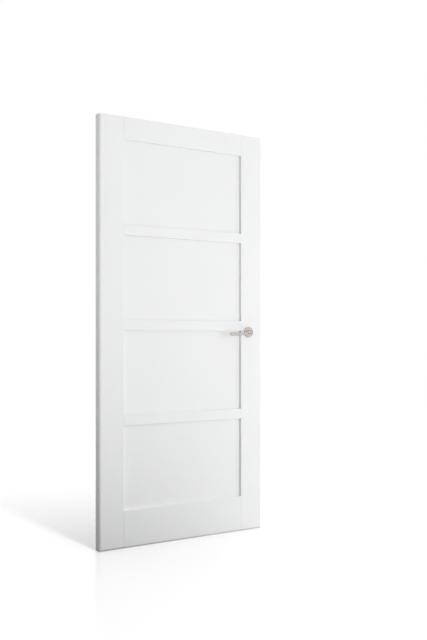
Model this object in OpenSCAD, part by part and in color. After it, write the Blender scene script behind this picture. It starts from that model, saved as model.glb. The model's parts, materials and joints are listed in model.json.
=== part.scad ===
// Four-panel interior door leaf with a mortice latch and a lever handle on each face.
// X runs from the hinge edge to the lock edge, Y from the front face to the back face, Z up.
// The origin is the middle of the hinge edge. All sizes are in millimetres.

/* [Leaf] */
// Width of the leaf
leaf_w = 930; // [730:1:1030]
// Height of the leaf
leaf_h = 2015; // [1980:1:2315]
// Thickness of the leaf
leaf_t = 44; // [40:1:54]
// Radius of the leaf's outer edges
edge_r = 10; // [3:0.5:11.5]
// Radius of the leaf's four corners, seen from the front
corner_r = 10; // [4:0.5:20]

/* [Stiles and rails] */
// Width of each stile
stile_w = 129; // [122:1:160]
// Height of the top rail
top_rail_h = 108; // [100:1:160]
// Height of each mid rail
mid_rail_h = 50; // [44:1:90]
// Height of the bottom rail
bottom_rail_h = 175; // [150:1:260]
// Radius of the edges around the panels
arris_r = 2; // [0.5:0.5:5]
// Depth of the groove that holds a panel
groove_d = 10; // [7:0.5:12]
// Gap between a stub tenon's end and the bottom of its groove
tenon_gap = 0.3; // [0.1:0.1:1]

/* [Panels] */
// Thickness of each panel, which is also the width of its groove
panel_t = 18; // [8:1:20]
// Gap between a panel's edge and the bottom of its groove
panel_gap = 2; // [0.5:0.5:3]

/* [Dowels] */
// Diameter of each dowel
dowel_d = 12; // [8:1:14]
// Length of each dowel
dowel_l = 100; // [60:2:110]
// Distance between the dowels of one joint
dowel_pitch = 50; // [40:1:52]
// Wood between the centre mid rail's dowels and the groove above, which keeps them clear of the latch
dowel_cover = 2; // [1:0.5:4]
// Chamfer on a dowel's ends
dowel_chamfer = 1.5; // [0.5:0.5:2.5]
// Radial play of a dowel in its bore
dowel_play = 0.1; // [0.05:0.05:0.3]
// Gap between a dowel's end and the bottom of its bore
dowel_end_gap = 0.5; // [0.2:0.1:2]

/* [Latch case] */
// Distance of the spindle from the lock stile's inner edge
spindle_in = 45; // [44:1:60]
// Wood between the latch's mortice and the centre mid rail's dowels above it
latch_wood = 3.3; // [2:0.1:60]
// Reach of the case below the spindle
case_down = 44; // [30:1:60]
// Gap between the case's side and the latch bolt's head
latch_side_gap = 0.5; // [0.3:0.1:1]
// Gap between the follower and the latch bolt's tail above it
tail_lift = 2.9; // [1:0.1:4]
// Reach of the case behind the spindle, with room for the latch bolt's toe, drawn right back
case_rear = 25; // [24.5:0.5:30]
// Thickness of the case's sheet steel
sheet_t = 1.5; // [1:0.1:2]
// Gap between the case and its mortice
mortice_gap = 0.5; // [0.2:0.1:1]
// Diameter of the posts that carry the cover
post_d = 7; // [6:0.5:8]

/* [Forend] */
// Width of the forend plate
forend_w = 20; // [18:0.5:22]
// Length of the forend plate
forend_l = 150; // [120:1:200]
// Thickness of the forend plate
forend_t = 3; // [2.5:0.5:4]
// Distance of the forend's screws from its ends
forend_screw_inset = 13; // [10:1:16]

/* [Latch bolt] */
// Thickness of the latch bolt's head
latch_w = 11; // [9:0.5:14]
// Height of the latch bolt's head
latch_h = 19; // [17:0.5:20]
// Reach of the latch bolt past the lock edge
latch_out = 12; // [9:0.5:12.5]
// Length of the latch bolt's head inside the case
latch_in = 14; // [8:0.5:18]
// Width of the flat at the latch bolt's tip
latch_tip = 3; // [1:0.5:5]
// Height of the latch bolt's tail
tail_h = 12; // [10:0.5:14]
// Width of the toe that the follower pushes
toe_w = 4; // [3:0.5:4.5]
// Free play between the follower's arm and the toe
lash = 1; // [0.5:0.1:1.3]

/* [Follower] */
// Angle that the lever turns through
handle_turn = 40; // [35:1:41]
// Radius of the follower's arm at its tip
arm_r = 22; // [20:0.5:22.5]
// Width of the follower's arm
arm_w = 8; // [6:0.5:10]
// Thickness of the follower's arm
arm_t = 4; // [3:0.5:5]
// Diameter of the follower's flange
follower_d = 22; // [19:0.5:23]
// Diameter of the follower's journals
follower_journal_d = 17; // [14:0.5:18]

/* [Latch spring] */
// Outer diameter of the spring
spring_d = 6.4; // [5:0.2:7]
// Diameter of the spring's wire
wire_d = 0.9; // [0.6:0.1:1.1]
// Turns of the spring
spring_turns = 12; // [7:1:14]
// Thickness of the lug behind the spring
lug_t = 4; // [2:0.5:6]
// Gap between the follower and that lug
lug_gap = 4; // [1:0.5:12]

/* [Lever] */
// Width of the square spindle
spindle_w = 8; // [7:0.5:8]
// Length of a lever from the spindle to its tip
lever_l = 144; // [120:1:155]
// Distance of a lever's grip from the leaf's face
lever_out = 42; // [42:1:60]
// Drop of the grip below the spindle
lever_drop = 10; // [2:0.5:14]
// Length of the grip over which it drops
drop_run = 50; // [30:1:70]
// Diameter of the neck and of the grip at the bend
grip_d = 13; // [12:0.5:15]
// Diameter of the grip at its slimmest
waist_d = 11.5; // [10:0.5:14]
// Distance of the slimmest place from the bend
waist_run = 55; // [30:1:75]
// Diameter of the grip at its tip
tip_d = 16; // [13:0.5:18]
// Radius of the bend from the neck to the grip
elbow_r = 18; // [12:0.5:19]
// Diameter of the hub outside the rose
hub_d = 19; // [17:0.5:21]
// Radius of the cove from the hub to the neck
cove_r = 7; // [4:0.5:8]
// Width of the shoulder where the cove meets the neck
neck_lip = 0.3; // [0.2:0.1:0.6]
// Diameter of the journal that turns in the rose plate
journal_d = 16; // [15:0.5:16.5]
// Reach of the journal into the leaf
journal_in = 3; // [2.5:0.1:5]
// Depth of the spindle's socket, from the leaf's face
socket_depth = 20; // [18:0.5:21]
// Diameter of the grub screw
grub_d = 5; // [4:0.5:6]

/* [Rose] */
// Diameter of the rose
rose_d = 51; // [50:0.5:60]
// Height of the rose
rose_h = 9; // [8.5:0.5:12]
// Wall of the rose cover
rose_wall = 1.5; // [1:0.1:1.6]
// Radius of the rose cover's rim
rose_edge_r = 3; // [1:0.5:3.5]
// Gap between the rose plate and the top of the rose cover
cover_gap = 1.5; // [0.5:0.5:2.5]
// Width of the rose plate outside each screw's head
plate_rim = 3; // [1:0.5:4]
// Gap between the retaining clip and the bore through the leaf
clip_gap = 2; // [1:0.5:2.5]
// Thickness of the retaining clip
clip_t = 1; // [0.8:0.1:1.2]
// Outer diameter of the retaining clip
clip_d = 20; // [18.5:0.5:21]
// Depth of the clip's groove in the journal
clip_groove_d = 1; // [0.5:0.1:1.2]

/* [Screws] */
// Shank diameter of the wood screws
screw_d = 3.5; // [3:0.1:4]
// Head diameter of the wood screws
screw_head_d = 7; // [6:0.1:7.4]
// Wood between a rose screw's point and the latch's mortice
screw_cover = 3; // [2:0.5:6]
// Length of the forend screws
forend_screw_l = 30; // [20:1:40]
// Shank diameter of the case screws
case_screw_d = 3; // [2.5:0.1:3.4]
// Head diameter of the case screws
case_screw_head_d = 5; // [4:0.1:5.5]
// Length of the case screws
case_screw_l = 9; // [6:0.5:10]

/* [Hidden] */
$fn = 64;

// Colours of the finishes
lacquer = [0.93, 0.93, 0.92];
beech = [0.80, 0.66, 0.48];
nickel = [0.72, 0.69, 0.65];
zinc = [0.68, 0.70, 0.72];
nylon = [0.20, 0.20, 0.21];

// Running clearances and the overrun of every cut
cut_over = 1;
slide_gap = 0.3;
run_gap = 0.05;
spindle_play = 0.05;
screw_play = 0.05;
screw_end_gap = 0.3;

// Heights of the leaf's foot and head, and the opening between the stiles
foot_z = -leaf_h / 2;
head_z = leaf_h / 2;
face_y = leaf_t / 2;
lock_stile_x = leaf_w - stile_w;
sight_w = leaf_w - 2 * stile_w;
tenon_l = groove_d - tenon_gap;
panel_in = groove_d - panel_gap;

// Lower edges of the rails, from the four equal panels
sight_h = (leaf_h - top_rail_h - bottom_rail_h - 3 * mid_rail_h) / 4;
lower_mid_z = foot_z + bottom_rail_h + sight_h;
centre_mid_z = lower_mid_z + mid_rail_h + sight_h;
upper_mid_z = centre_mid_z + mid_rail_h + sight_h;
top_rail_z = upper_mid_z + mid_rail_h + sight_h;

// Heights of the dowels in each rail
bottom_dowel_z = foot_z + (bottom_rail_h - groove_d) / 2;
top_dowel_z = head_z - (top_rail_h - groove_d) / 2;
bottom_dowels = [bottom_dowel_z - dowel_pitch, bottom_dowel_z, bottom_dowel_z + dowel_pitch];
top_dowels = [top_dowel_z - dowel_pitch / 2, top_dowel_z + dowel_pitch / 2];
lower_mid_dowels = [lower_mid_z + mid_rail_h / 2];
centre_mid_dowels = [centre_mid_z + mid_rail_h - groove_d - dowel_cover - dowel_play - dowel_d / 2];
upper_mid_dowels = [upper_mid_z + mid_rail_h / 2];
all_dowels = concat(bottom_dowels, lower_mid_dowels, centre_mid_dowels, upper_mid_dowels, top_dowels);

// Latch bolt's travel and the latch case, measured from the spindle axis
latch_travel = arm_r * sin(handle_turn) - arm_w / 2 * (1 - cos(handle_turn));
toe_x = -arm_w / 2 - lash - toe_w;
backset = stile_w - spindle_in;
case_front = backset - forend_t;
case_up = follower_d / 2 + tail_lift + tail_h + 2 * slide_gap + sheet_t;
case_t = latch_w + 2 * latch_side_gap + 2 * sheet_t;
inner_y = case_t / 2 - sheet_t;
forend_mid_z = (case_up - case_down) / 2;
post_r = post_d / 2;
guide_post = [arm_w / 2 + slide_gap + post_r, case_up - sheet_t - tail_h / 2 - 2 * slide_gap];
rear_post = [-case_rear + post_r, -case_down + post_r];
front_post = [case_front - post_r, -case_down + post_r];
posts = [guide_post, rear_post, front_post];

// Spindle axis
spindle_x = leaf_w - backset;
spindle_z = centre_mid_dowels[0] - dowel_d / 2 - dowel_play - latch_wood - mortice_gap - case_up;

// Latch bolt, its tail and its spring
tail_z = guide_post[1] - tail_h / 2;
tail_y = -inner_y + slide_gap;
tail_t = inner_y - 2 * slide_gap - arm_t / 2;
latch_z = tail_z + tail_h - latch_h;
latch_rear = case_front - latch_in;
latch_bevel_start = backset + slide_gap;
spring_z = tail_z - slide_gap - spring_d / 2;
lug_x = follower_d / 2 + lug_gap;
spring_x = lug_x + lug_t;
spring_l = latch_rear - spring_x;
spring_steps = 12;
wire_sides = 8;

// Rose plate, its screws and the bore behind it
plate_t = rose_h - rose_wall - cover_gap;
plate_d = rose_d - 2 * rose_wall - 2 * run_gap;
rose_screw_pitch = plate_d - screw_head_d - 2 * plate_rim;
rose_screw_l = plate_t + face_y - case_t / 2 - mortice_gap - screw_cover;
spindle_bore_d = clip_d + 2 * clip_gap;

// Lever levels, measured outwards from the middle of the leaf
journal_end = face_y - journal_in;
plate_front = face_y + plate_t;
hub_start = plate_front + slide_gap;
elbow_start = face_y + lever_out - elbow_r;
socket_end = face_y + socket_depth;
clip_z = face_y - slide_gap - clip_t;
grip_z = face_y + lever_out;
grip_l = lever_l - elbow_r - tip_d / 2;
lever_sides = 28;
elbow_steps = 9;
grip_steps = 20;
tip_steps = 6;
tip_turn = 84;
grub_z = (face_y + rose_h + elbow_start - cove_r) / 2;
spindle_l = 2 * (socket_end - slide_gap);

// Screw forms
screw_tip_share = 1.6;
recess_share = 0.16;
recess_span_share = 0.6;

// Rectangle from x = 0 to x = w with one radius at its near corners and one at its far corners
module edge_section(w, t, near_r, far_r) {
    polygon([
        [near_r, -t / 2], [w - far_r, -t / 2], [w, far_r - t / 2], [w, t / 2 - far_r],
        [w - far_r, t / 2], [near_r, t / 2], [0, t / 2 - near_r], [0, near_r - t / 2]
    ]);
    for (side = [-1, 1]) {
        translate([near_r, side * (t / 2 - near_r)])
            circle(near_r);
        translate([w - far_r, side * (t / 2 - far_r)])
            circle(far_r);
    }
}

// Slot with round ends, centred, its length along the second axis
module round_slot(w, l) {
    square([w, l - w], center = true);
    for (side = [-1, 1])
        translate([0, side * (l - w) / 2])
            circle(w / 2);
}

// Extrusion along X of a section drawn with Z as its first axis and Y as its second
module along_x(x, z, l) {
    translate([x + l, 0, z])
        rotate([0, -90, 0])
            linear_extrude(l)
                children();
}

// Whole leaf as a plain slab with its edges and corners rounded
module leaf_slab() {
    intersection() {
        along_x(0, foot_z, leaf_w)
            edge_section(leaf_h, leaf_t, edge_r, edge_r);
        translate([0, face_y, 0])
            rotate([90, 0, 0])
                linear_extrude(leaf_t)
                    edge_section(leaf_w, leaf_h, corner_r, corner_r);
    }
}

// Bore for one dowel across the shoulder at x
module dowel_bore(x, z) {
    translate([x, 0, z])
        rotate([0, 90, 0])
            cylinder(d = dowel_d + 2 * dowel_play, h = dowel_l + 2 * dowel_end_gap, center = true);
}

// Stile with its outer edge at x = 0 and its panel groove along the inner edge
module stile_blank() {
    intersection() {
        translate([0, 0, foot_z])
            linear_extrude(leaf_h)
                difference() {
                    edge_section(stile_w, leaf_t, edge_r, arris_r);
                    translate([stile_w - groove_d, -panel_t / 2])
                        square([groove_d + cut_over, panel_t]);
                }
        leaf_slab();
    }
}

module hinge_stile() {
    color(lacquer)
        difference() {
            stile_blank();
            for (z = all_dowels)
                dowel_bore(stile_w, z);
        }
}

module lock_stile() {
    color(lacquer)
        difference() {
            translate([leaf_w, 0, 0])
                mirror([1, 0, 0])
                    stile_blank();
            for (z = all_dowels)
                dowel_bore(lock_stile_x, z);
            at_spindle()
                lock_mortice();
            on_front()
                rose_pilot_bores();
            on_back()
                rose_pilot_bores();
        }
}

// Rail between the stiles, with a stub tenon at each end and a groove where a panel meets it
module rail(z, h, low_r, high_r, low_groove, high_groove, dowels) {
    color(lacquer)
        difference() {
            union() {
                along_x(stile_w, z, sight_w)
                    edge_section(h, leaf_t, low_r, high_r);
                translate([stile_w - tenon_l, -panel_t / 2, z + low_groove])
                    cube([sight_w + 2 * tenon_l, panel_t, h - low_groove - high_groove]);
            }
            if (low_groove > 0)
                translate([stile_w - cut_over, -panel_t / 2, z - cut_over])
                    cube([sight_w + 2 * cut_over, panel_t, low_groove + cut_over]);
            if (high_groove > 0)
                translate([stile_w - cut_over, -panel_t / 2, z + h - high_groove])
                    cube([sight_w + 2 * cut_over, panel_t, high_groove + cut_over]);
            for (dowel_z = dowels, x = [stile_w, lock_stile_x])
                dowel_bore(x, dowel_z);
        }
}

module top_rail() {
    rail(top_rail_z, top_rail_h, arris_r, edge_r, groove_d, 0, top_dowels);
}

module upper_mid_rail() {
    rail(upper_mid_z, mid_rail_h, arris_r, arris_r, groove_d, groove_d, upper_mid_dowels);
}

module centre_mid_rail() {
    rail(centre_mid_z, mid_rail_h, arris_r, arris_r, groove_d, groove_d, centre_mid_dowels);
}

module lower_mid_rail() {
    rail(lower_mid_z, mid_rail_h, arris_r, arris_r, groove_d, groove_d, lower_mid_dowels);
}

module bottom_rail() {
    rail(foot_z, bottom_rail_h, edge_r, arris_r, 0, groove_d, bottom_dowels);
}

// Flat panel above the rail whose upper edge is at z
module panel(z) {
    color(lacquer)
        translate([stile_w - panel_in, -panel_t / 2, z - panel_in])
            cube([sight_w + 2 * panel_in, panel_t, sight_h + 2 * panel_in]);
}

module top_panel() {
    panel(upper_mid_z + mid_rail_h);
}

module upper_panel() {
    panel(centre_mid_z + mid_rail_h);
}

module lower_panel() {
    panel(lower_mid_z + mid_rail_h);
}

module bottom_panel() {
    panel(foot_z + bottom_rail_h);
}

module dowel() {
    dowel_r = dowel_d / 2;
    end = dowel_l / 2;
    rotate([0, 90, 0])
        rotate_extrude()
            polygon([
                [0, -end], [dowel_r - dowel_chamfer, -end], [dowel_r, dowel_chamfer - end],
                [dowel_r, end - dowel_chamfer], [dowel_r - dowel_chamfer, end], [0, end]
            ]);
}

module dowels() {
    color(beech)
        for (x = [stile_w, lock_stile_x], z = all_dowels)
            translate([x, 0, z])
                dowel();
}

// Closed skin over rings, each given as its centre and two radius vectors
module skin(rings, sides) {
    ring = [for (k = [0 : sides - 1]) k];
    last = len(rings) - 1;
    points = [
        for (r = rings, k = ring)
            let (turn = 360 * k / sides)
            r[0] + cos(turn) * r[1] + sin(turn) * r[2]
    ];
    walls = [
        for (i = [0 : last - 1], k = ring)
            let (next = (k + 1) % sides, here = i * sides, after = here + sides)
            [here + k, here + next, after + next, after + k]
    ];
    first_end = [for (k = ring) sides - 1 - k];
    last_end = [for (k = ring) last * sides + k];
    polyhedron(points, concat(walls, [first_end, last_end]));
}

// Frame of the latch, with its origin on the spindle axis
module at_spindle() {
    translate([spindle_x, 0, spindle_z])
        children();
}

// Frames of the two handles: x as in the leaf, y up, z out of the leaf from its middle
module on_front() {
    at_spindle()
        rotate([90, 0, 0])
            children();
}

module on_back() {
    at_spindle()
        mirror([0, 1, 0])
            rotate([90, 0, 0])
                children();
}

// Countersunk screw with its head's top at z = 0 and its point downwards
module screw(shank, head, l) {
    shank_r = shank / 2;
    head_r = head / 2;
    head_h = head_r - shank_r;
    recess_w = head * recess_share;
    recess_l = head * recess_span_share;
    difference() {
        rotate_extrude()
            polygon([[0, 0], [head_r, 0], [shank_r, -head_h], [shank_r, screw_tip_share * shank - l], [0, -l]]);
        for (turn = [0, 90])
            rotate([0, 0, turn])
                translate([-recess_l / 2, -recess_w / 2, -head_h * recess_span_share])
                    cube([recess_l, recess_w, head_h]);
    }
}

// Bore for that screw, open above its head
module screw_bore(shank, head, l) {
    shank_r = shank / 2 + screw_play;
    head_r = head / 2 + screw_play;
    head_h = head_r - shank_r;
    end = l + screw_end_gap;
    rotate_extrude()
        polygon([
            [0, cut_over], [head_r, cut_over], [head_r, 0], [shank_r, -head_h],
            [shank_r, -end], [0, -end]
        ]);
}

// Places of the screws: outwards is up the screw's own z axis
module at_case_screws() {
    for (p = posts)
        translate([p[0], case_t / 2, p[1]])
            rotate([-90, 0, 0])
                children();
}

module at_forend_screws() {
    for (side = [-1, 1])
        translate([backset, 0, forend_mid_z + side * (forend_l / 2 - forend_screw_inset)])
            rotate([0, 90, 0])
                children();
}

module at_rose_screws() {
    for (side = [-1, 1])
        translate([0, side * rose_screw_pitch / 2, plate_front])
            children();
}

module rose_pilot_bores() {
    at_rose_screws()
        screw_bore(screw_d, screw_head_d, rose_screw_l);
}

// Plate outline along the lock edge, from x inwards by t
module forend_form(x, t, l) {
    translate([x - t, 0, forend_mid_z])
        rotate([90, 0, 90])
            linear_extrude(l)
                round_slot(forend_w, forend_l);
}

// Everything cut from the lock stile for the latch
module lock_mortice() {
    mortice_t = case_t + 2 * mortice_gap;
    translate([-case_rear - mortice_gap, -mortice_t / 2, -case_down - mortice_gap])
        cube([case_rear + backset, mortice_t, case_up + case_down + 2 * mortice_gap]);
    forend_form(backset, forend_t, forend_t + cut_over);
    rotate([90, 0, 0])
        cylinder(d = spindle_bore_d, h = leaf_t + 2 * cut_over, center = true);
    at_forend_screws()
        screw_bore(screw_d, screw_head_d, forend_screw_l);
}

// Opening for the latch bolt's head through the case's front and the forend
module latch_opening(x0, x1) {
    translate([x0, -latch_w / 2 - slide_gap, latch_z - slide_gap])
        cube([x1 - x0, latch_w + 2 * slide_gap, latch_h + 2 * slide_gap]);
}

// Bore for the follower's journal, drawn through the whole case
module follower_bore() {
    rotate([90, 0, 0])
        cylinder(d = follower_journal_d + 2 * run_gap, h = case_t + 2 * cut_over, center = true);
}

// Tray of the latch case, open towards the cover, with its posts and the spring's lug
module lock_case() {
    tray_t = case_t - sheet_t;
    color(zinc)
        at_spindle()
            difference() {
                union() {
                    difference() {
                        translate([-case_rear, -case_t / 2, -case_down])
                            cube([case_rear + case_front, tray_t, case_up + case_down]);
                        translate([sheet_t - case_rear, -inner_y, sheet_t - case_down])
                            cube([
                                case_rear + case_front - 2 * sheet_t, 2 * inner_y + cut_over,
                                case_up + case_down - 2 * sheet_t
                            ]);
                    }
                    for (p = posts)
                        translate([p[0], -inner_y - sheet_t / 2, p[1]])
                            rotate([-90, 0, 0])
                                cylinder(r = post_r, h = 2 * inner_y + sheet_t / 2);
                    translate([lug_x, -inner_y - sheet_t / 2, spring_z - spring_d / 2])
                        cube([lug_t, inner_y + sheet_t / 2 + spring_d / 2, spring_d]);
                }
                follower_bore();
                latch_opening(case_front - sheet_t - cut_over, case_front + cut_over);
                at_case_screws()
                    screw_bore(case_screw_d, case_screw_head_d, case_screw_l);
            }
}

module case_cover() {
    color(zinc)
        at_spindle()
            difference() {
                translate([-case_rear, inner_y, -case_down])
                    cube([case_rear + case_front, sheet_t, case_up + case_down]);
                follower_bore();
                at_case_screws()
                    screw_bore(case_screw_d, case_screw_head_d, case_screw_l);
            }
}

module case_screws() {
    color(zinc)
        at_spindle()
            at_case_screws()
                screw(case_screw_d, case_screw_head_d, case_screw_l);
}

module forend_plate() {
    color(nickel)
        at_spindle()
            difference() {
                forend_form(backset, forend_t, forend_t);
                latch_opening(case_front - cut_over, backset + cut_over);
                at_forend_screws()
                    screw_bore(screw_d, screw_head_d, forend_screw_l);
            }
}

module forend_screws() {
    color(nickel)
        at_spindle()
            at_forend_screws()
                screw(screw_d, screw_head_d, forend_screw_l);
}

// Bevelled head, flat tail with a slot for the guide post, and the toe behind the follower's arm
module latch_bolt() {
    tip_x = backset + latch_out;
    half = latch_w / 2;
    slot_r = post_r + slide_gap;
    color(nickel)
        at_spindle() {
            translate([0, 0, latch_z])
                linear_extrude(latch_h)
                    polygon([
                        [latch_rear, -half], [latch_bevel_start, -half], [tip_x, half - latch_tip],
                        [tip_x, half], [latch_rear, half]
                    ]);
            difference() {
                translate([toe_x, tail_y, tail_z])
                    cube([latch_rear - toe_x + cut_over, tail_t, tail_h]);
                for (x = [guide_post[0], guide_post[0] + latch_travel + slide_gap])
                    translate([x, 0, guide_post[1]])
                        rotate([90, 0, 0])
                            cylinder(r = slot_r, h = case_t, center = true);
                translate([guide_post[0], -inner_y, guide_post[1] - slot_r])
                    cube([latch_travel + slide_gap, inner_y, 2 * slot_r]);
            }
            translate([toe_x, tail_y, tail_z])
                cube([toe_w, tail_t + slide_gap + arm_t, tail_h]);
        }
}

// Compression spring between the lug and the latch bolt's head
module latch_spring() {
    wire_r = wire_d / 2;
    coil_r = spring_d / 2 - wire_r;
    steps = spring_turns * spring_steps;
    run = spring_l - 2 * wire_r - 2 * run_gap;
    rings = [
        for (i = [0 : steps])
            let (turn = 360 * i / spring_steps, out = [0, cos(turn), sin(turn)])
            [[run * i / steps, 0, 0] + coil_r * out, wire_r * out, [wire_r, 0, 0]]
    ];
    color(zinc)
        at_spindle()
            translate([spring_x + run_gap + wire_r, 0, spring_z])
                skin(rings, wire_sides);
}

// Hub with its two journals, the arm that pulls the latch and the square hole for the spindle
module follower() {
    flange_t = 2 * (inner_y - slide_gap);
    hole_w = spindle_w + 2 * spindle_play;
    color(zinc)
        at_spindle()
            difference() {
                union() {
                    rotate([90, 0, 0])
                        cylinder(d = follower_d, h = flange_t, center = true);
                    rotate([90, 0, 0])
                        cylinder(d = follower_journal_d, h = case_t, center = true);
                    translate([-arm_w / 2, -arm_t / 2, 0])
                        cube([arm_w, arm_t, arm_r]);
                }
                cube([hole_w, case_t + 2 * cut_over, hole_w], center = true);
            }
}

module spindle() {
    color(zinc)
        at_spindle()
            cube([spindle_w, spindle_l, spindle_w], center = true);
}

// Turned end of the lever: journal, clip groove, hub and the cove into the neck
module lever_hub() {
    journal_r = journal_d / 2;
    groove_r = journal_r - clip_groove_d;
    hub_r = hub_d / 2;
    clip_low = clip_z - run_gap;
    clip_high = clip_z + clip_t + run_gap;
    rotate_extrude()
        difference() {
            polygon([
                [0, journal_end], [journal_r, journal_end], [journal_r, clip_low], [groove_r, clip_low],
                [groove_r, clip_high], [journal_r, clip_high], [journal_r, hub_start],
                [hub_r, hub_start], [hub_r, elbow_start], [0, elbow_start]
            ]);
            translate([grip_d / 2 + neck_lip + cove_r, elbow_start])
                circle(cove_r);
        }
}

// Eased step from 0 to 1
function ease(t) = t * t * (3 - 2 * t);

// Ring of the lever's skin, from its centre, its radius and the way that faces away from the bend
function lever_ring(centre, r, out) = [centre, [0, r, 0], r * out];

function elbow_ring(turn) =
    lever_ring(
        [elbow_r * (cos(turn) - 1), 0, elbow_start + elbow_r * sin(turn)],
        grip_d / 2,
        [cos(turn), 0, sin(turn)]
    );

// Diameter of the grip at a distance from the bend
function grip_width(run) =
    run < waist_run
        ? grip_d + (waist_d - grip_d) * ease(run / waist_run)
        : waist_d + (tip_d - waist_d) * ease((run - waist_run) / (grip_l - waist_run));

function grip_ring(run) =
    lever_ring(
        [-elbow_r - run, -lever_drop * ease(min(1, run / drop_run)), grip_z],
        grip_width(run) / 2,
        [0, 0, 1]
    );

function tip_ring(turn) =
    lever_ring(
        [-elbow_r - grip_l - tip_d / 2 * sin(turn), -lever_drop, grip_z],
        tip_d / 2 * cos(turn),
        [0, 0, 1]
    );

// Neck, elbow, a grip that eases down and swells, and a round tip
module lever_grip() {
    rings = concat(
        [lever_ring([0, 0, elbow_start - cove_r / 2], grip_d / 2, [1, 0, 0])],
        [for (i = [0 : elbow_steps]) elbow_ring(90 * i / elbow_steps)],
        [for (i = [1 : grip_steps]) grip_ring(grip_l * i / grip_steps)],
        [for (i = [1 : tip_steps]) tip_ring(tip_turn * i / tip_steps)]
    );
    skin(rings, lever_sides);
}

module grub_bore() {
    translate([0, 0, grub_z])
        rotate([90, 0, 0])
            cylinder(d = grub_d + 2 * screw_play, h = hub_d);
}

module lever() {
    socket_w = spindle_w + 2 * spindle_play;
    color(nickel)
        difference() {
            union() {
                lever_hub();
                lever_grip();
            }
            translate([-socket_w / 2, -socket_w / 2, journal_end - cut_over])
                cube([socket_w, socket_w, socket_end - journal_end + cut_over]);
            grub_bore();
        }
}

// Set screw under the hub, with its six-sided socket outwards
module grub_screw() {
    grub_l = hub_d / 2 - spindle_w / 2 - slide_gap - spindle_play;
    color(zinc)
        translate([0, -spindle_w / 2 - spindle_play, grub_z])
            rotate([90, 0, 0])
                difference() {
                    cylinder(d = grub_d, h = grub_l);
                    translate([0, 0, grub_l / 2])
                        cylinder(d = grub_d / 2, h = grub_l, $fn = 6);
                }
}

// Open ring in the journal's groove, behind the rose plate
module retaining_clip() {
    hole_r = journal_d / 2 - clip_groove_d + run_gap;
    color(zinc)
        translate([0, 0, clip_z])
            difference() {
                cylinder(d = clip_d, h = clip_t);
                translate([0, 0, -cut_over])
                    cylinder(r = hole_r, h = clip_t + 2 * cut_over);
                translate([-hole_r, -clip_d, -cut_over])
                    cube([2 * hole_r, clip_d, clip_t + 2 * cut_over]);
            }
}

module rose_plate() {
    color(nylon)
        difference() {
            translate([0, 0, face_y])
                cylinder(d = plate_d, h = plate_t);
            cylinder(d = journal_d + 2 * run_gap, h = plate_front + cut_over);
            rose_pilot_bores();
        }
}

module rose_screws() {
    color(zinc)
        at_rose_screws()
            screw(screw_d, screw_head_d, rose_screw_l);
}

// Turned cap over the rose plate, with a rounded rim and a hole for the lever's hub
module rose_cover() {
    rose_r = rose_d / 2;
    top = face_y + rose_h;
    hole_r = hub_d / 2 + slide_gap;
    color(nickel)
        rotate_extrude()
            difference() {
                union() {
                    polygon([
                        [hole_r, face_y], [rose_r, face_y], [rose_r, top - rose_edge_r],
                        [rose_r - rose_edge_r, top], [hole_r, top]
                    ]);
                    translate([rose_r - rose_edge_r, top - rose_edge_r])
                        circle(rose_edge_r);
                }
                translate([0, face_y - cut_over])
                    square([rose_r - rose_wall, rose_h - rose_wall + cut_over]);
            }
}

module front_lever() { on_front() lever(); }
module front_grub_screw() { on_front() grub_screw(); }
module front_clip() { on_front() retaining_clip(); }
module front_rose_plate() { on_front() rose_plate(); }
module front_rose_screws() { on_front() rose_screws(); }
module front_rose_cover() { on_front() rose_cover(); }
module back_lever() { on_back() lever(); }
module back_grub_screw() { on_back() grub_screw(); }
module back_clip() { on_back() retaining_clip(); }
module back_rose_plate() { on_back() rose_plate(); }
module back_rose_screws() { on_back() rose_screws(); }
module back_rose_cover() { on_back() rose_cover(); }

hinge_stile();
lock_stile();
top_rail();
upper_mid_rail();
centre_mid_rail();
lower_mid_rail();
bottom_rail();
top_panel();
upper_panel();
lower_panel();
bottom_panel();
dowels();
lock_case();
case_cover();
case_screws();
forend_plate();
forend_screws();
latch_bolt();
latch_spring();
follower();
spindle();
front_lever();
front_grub_screw();
front_clip();
front_rose_plate();
front_rose_screws();
front_rose_cover();
back_lever();
back_grub_screw();
back_clip();
back_rose_plate();
back_rose_screws();
back_rose_cover();
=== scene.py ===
"""Dresses a packed door leaf: lacquer, timber, metal, levers, a latch spring and a white studio."""

import json
import math

import bmesh
import bpy
from bpy.props import FloatProperty, FloatVectorProperty, IntProperty, PointerProperty
from bpy.types import Operator, Panel, PropertyGroup
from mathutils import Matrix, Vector


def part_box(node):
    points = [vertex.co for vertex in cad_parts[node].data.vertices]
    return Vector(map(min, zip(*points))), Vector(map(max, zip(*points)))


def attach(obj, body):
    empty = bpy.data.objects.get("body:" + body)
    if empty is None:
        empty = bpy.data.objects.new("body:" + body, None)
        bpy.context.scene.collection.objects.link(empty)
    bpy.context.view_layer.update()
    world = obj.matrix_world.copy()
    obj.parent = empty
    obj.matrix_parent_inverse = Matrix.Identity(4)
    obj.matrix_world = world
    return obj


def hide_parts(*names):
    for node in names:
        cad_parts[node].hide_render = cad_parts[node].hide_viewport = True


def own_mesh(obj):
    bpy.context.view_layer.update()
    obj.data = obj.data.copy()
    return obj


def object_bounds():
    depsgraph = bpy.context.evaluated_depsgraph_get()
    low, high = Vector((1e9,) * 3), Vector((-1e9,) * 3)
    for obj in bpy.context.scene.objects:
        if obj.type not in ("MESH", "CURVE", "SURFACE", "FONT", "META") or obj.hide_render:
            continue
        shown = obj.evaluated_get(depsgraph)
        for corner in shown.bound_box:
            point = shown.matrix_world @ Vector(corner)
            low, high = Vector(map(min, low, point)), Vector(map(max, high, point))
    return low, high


bl_info = {
    "name": "Door leaf finishes",
    "version": (1, 0, 0),
    "blender": (4, 5, 0),
    "location": "3D View > Sidebar > Door",
    "description": "Finishes a four-panel door leaf with its levers and latch, in a white studio",
    "category": "Object",
}

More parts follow.
